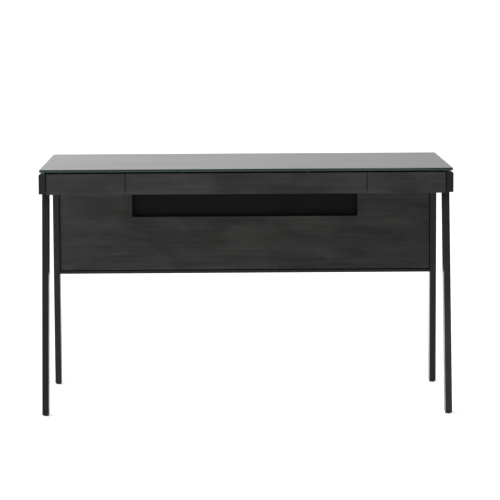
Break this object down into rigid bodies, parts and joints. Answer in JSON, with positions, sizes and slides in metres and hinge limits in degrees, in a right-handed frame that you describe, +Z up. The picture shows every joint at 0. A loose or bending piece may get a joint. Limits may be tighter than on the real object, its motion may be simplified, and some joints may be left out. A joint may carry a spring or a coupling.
{
  "type": "writing desk",
  "caption": "Glass-topped writing desk on black steel side frames with raked front legs, shallow drawers on ball-bearing slides, and a slotted modesty panel with a cable space behind it.",
  "frame": {"origin": "on the floor, under the middle of the desk's bounding box", "axes": "+X along the desk's width to the sitter's right, +Y from the sitter towards the modesty panel, +Z up; the drawers open towards -Y"},
  "size_m": [1.22, 0.61, 0.737],
  "materials": {
    "tinted_glass": "satin-etched toughened glass, back-painted dark grey, polished green edge",
    "clear_polymer": "clear self-adhesive bumper",
    "black_powder_coat": "satin black powder coat on steel tube",
    "black_nylon": "moulded black nylon",
    "zinc_steel": "bright zinc plate",
    "black_oxide_steel": "black oxide",
    "charcoal_ash": "charcoal-stained ash veneer, satin, horizontal grain",
    "birch_plywood": "clear-lacquered birch plywood"
  },
  "bodies": {
    "desk_frame": {"glass_top": "tinted_glass", "glass_bumpers": "clear_polymer", "side_rail_left": "black_powder_coat", "side_rail_right": "black_powder_coat", "rail_end_caps": "black_nylon", "front_leg_left": "black_powder_coat", "front_leg_right": "black_powder_coat", "rear_leg_left": "black_powder_coat", "rear_leg_right": "black_powder_coat", "leg_inserts": "black_nylon", "rear_stretcher": "black_powder_coat", "case_top": "charcoal_ash", "case_side_left": "charcoal_ash", "case_side_right": "charcoal_ash", "divider_left": "charcoal_ash", "divider_right": "charcoal_ash", "case_bolts": "black_oxide_steel", "modesty_panel": "charcoal_ash", "compartment_floor": "charcoal_ash", "compartment_sides": "charcoal_ash", "rear_cover": "charcoal_ash", "cover_screws": "black_oxide_steel", "panel_bolts": "black_oxide_steel", "channel_screws": "zinc_steel", "left_slide_channels": "zinc_steel", "centre_slide_channels": "zinc_steel", "right_slide_channels": "zinc_steel"},
    "left_drawer": {"left_drawer_front": "charcoal_ash", "left_drawer_side_left": "birch_plywood", "left_drawer_side_right": "birch_plywood", "left_drawer_box_front": "birch_plywood", "left_drawer_back": "birch_plywood", "left_drawer_bottom": "birch_plywood", "left_slide_runners": "zinc_steel"},
    "left_cages": {"left_ball_cages": "zinc_steel"},
    "centre_drawer": {"centre_drawer_front": "charcoal_ash", "centre_drawer_side_left": "birch_plywood", "centre_drawer_side_right": "birch_plywood", "centre_drawer_box_front": "birch_plywood", "centre_drawer_back": "birch_plywood", "centre_drawer_bottom": "birch_plywood", "centre_slide_runners": "zinc_steel"},
    "centre_cages": {"centre_ball_cages": "zinc_steel"},
    "right_drawer": {"right_drawer_front": "charcoal_ash", "right_drawer_side_left": "birch_plywood", "right_drawer_side_right": "birch_plywood", "right_drawer_box_front": "birch_plywood", "right_drawer_back": "birch_plywood", "right_drawer_bottom": "birch_plywood", "right_slide_runners": "zinc_steel"},
    "right_cages": {"right_ball_cages": "zinc_steel"},
    "foot_front_left": {"foot_pad_front_left": "black_nylon"},
    "stud_front_left": {"foot_stud_front_left": "zinc_steel"},
    "foot_front_right": {"foot_pad_front_right": "black_nylon"},
    "stud_front_right": {"foot_stud_front_right": "zinc_steel"},
    "foot_rear_left": {"foot_pad_rear_left": "black_nylon"},
    "stud_rear_left": {"foot_stud_rear_left": "zinc_steel"},
    "foot_rear_right": {"foot_pad_rear_right": "black_nylon"},
    "stud_rear_right": {"foot_stud_rear_right": "zinc_steel"}
  },
  "joints": [
    {"name": "left_drawer_slide", "type": "slide", "parent": "desk_frame", "child": "left_drawer", "axis": [0, -1, 0], "range_m": [0, 0.337]},
    {"name": "left_cage_slide", "type": "slide", "parent": "desk_frame", "child": "left_cages", "axis": [0, -1, 0], "range_m": [0, 0.1685]},
    {"name": "centre_drawer_slide", "type": "slide", "parent": "desk_frame", "child": "centre_drawer", "axis": [0, -1, 0], "range_m": [0, 0.337]},
    {"name": "centre_cage_slide", "type": "slide", "parent": "desk_frame", "child": "centre_cages", "axis": [0, -1, 0], "range_m": [0, 0.1685]},
    {"name": "right_drawer_slide", "type": "slide", "parent": "desk_frame", "child": "right_drawer", "axis": [0, -1, 0], "range_m": [0, 0.337]},
    {"name": "right_cage_slide", "type": "slide", "parent": "desk_frame", "child": "right_cages", "axis": [0, -1, 0], "range_m": [0, 0.1685]},
    {"name": "foot_height_front_left", "type": "slide", "parent": "desk_frame", "child": "foot_front_left", "axis": [0, 0, -1], "range_m": [0, 0.01]},
    {"name": "stud_turn_front_left", "type": "hinge", "parent": "foot_front_left", "child": "stud_front_left", "pos_m": [-0.6, -0.27353, 0.005], "axis": [0, 0, -1], "range_deg": [0, 2880.5]},
    {"name": "foot_height_front_right", "type": "slide", "parent": "desk_frame", "child": "foot_front_right", "axis": [0, 0, -1], "range_m": [0, 0.01]},
    {"name": "stud_turn_front_right", "type": "hinge", "parent": "foot_front_right", "child": "stud_front_right", "pos_m": [0.6, -0.27353, 0.005], "axis": [0, 0, -1], "range_deg": [0, 2880.5]},
    {"name": "foot_height_rear_left", "type": "slide", "parent": "desk_frame", "child": "foot_rear_left", "axis": [0, 0, -1], "range_m": [0, 0.01]},
    {"name": "stud_turn_rear_left", "type": "hinge", "parent": "foot_rear_left", "child": "stud_rear_left", "pos_m": [-0.6, 0.28, 0.005], "axis": [0, 0, -1], "range_deg": [0, 2880.5]},
    {"name": "foot_height_rear_right", "type": "slide", "parent": "desk_frame", "child": "foot_rear_right", "axis": [0, 0, -1], "range_m": [0, 0.01]},
    {"name": "stud_turn_rear_right", "type": "hinge", "parent": "foot_rear_right", "child": "stud_rear_right", "pos_m": [0.6, 0.28, 0.005], "axis": [0, 0, -1], "range_deg": [0, 2880.5]}
  ],
  "couplings": [
    {"joint": "left_cage_slide", "follows": "left_drawer_slide", "ratio": 0.5},
    {"joint": "centre_cage_slide", "follows": "centre_drawer_slide", "ratio": 0.5},
    {"joint": "right_cage_slide", "follows": "right_drawer_slide", "ratio": 0.5},
    {"joint": "stud_turn_front_left", "follows": "foot_height_front_left", "rad_per_m": 5026.5},
    {"joint": "stud_turn_front_right", "follows": "foot_height_front_right", "rad_per_m": 5026.5},
    {"joint": "stud_turn_rear_left", "follows": "foot_height_rear_left", "rad_per_m": 5026.5},
    {"joint": "stud_turn_rear_right", "follows": "foot_height_rear_right", "rad_per_m": 5026.5}
  ]
}
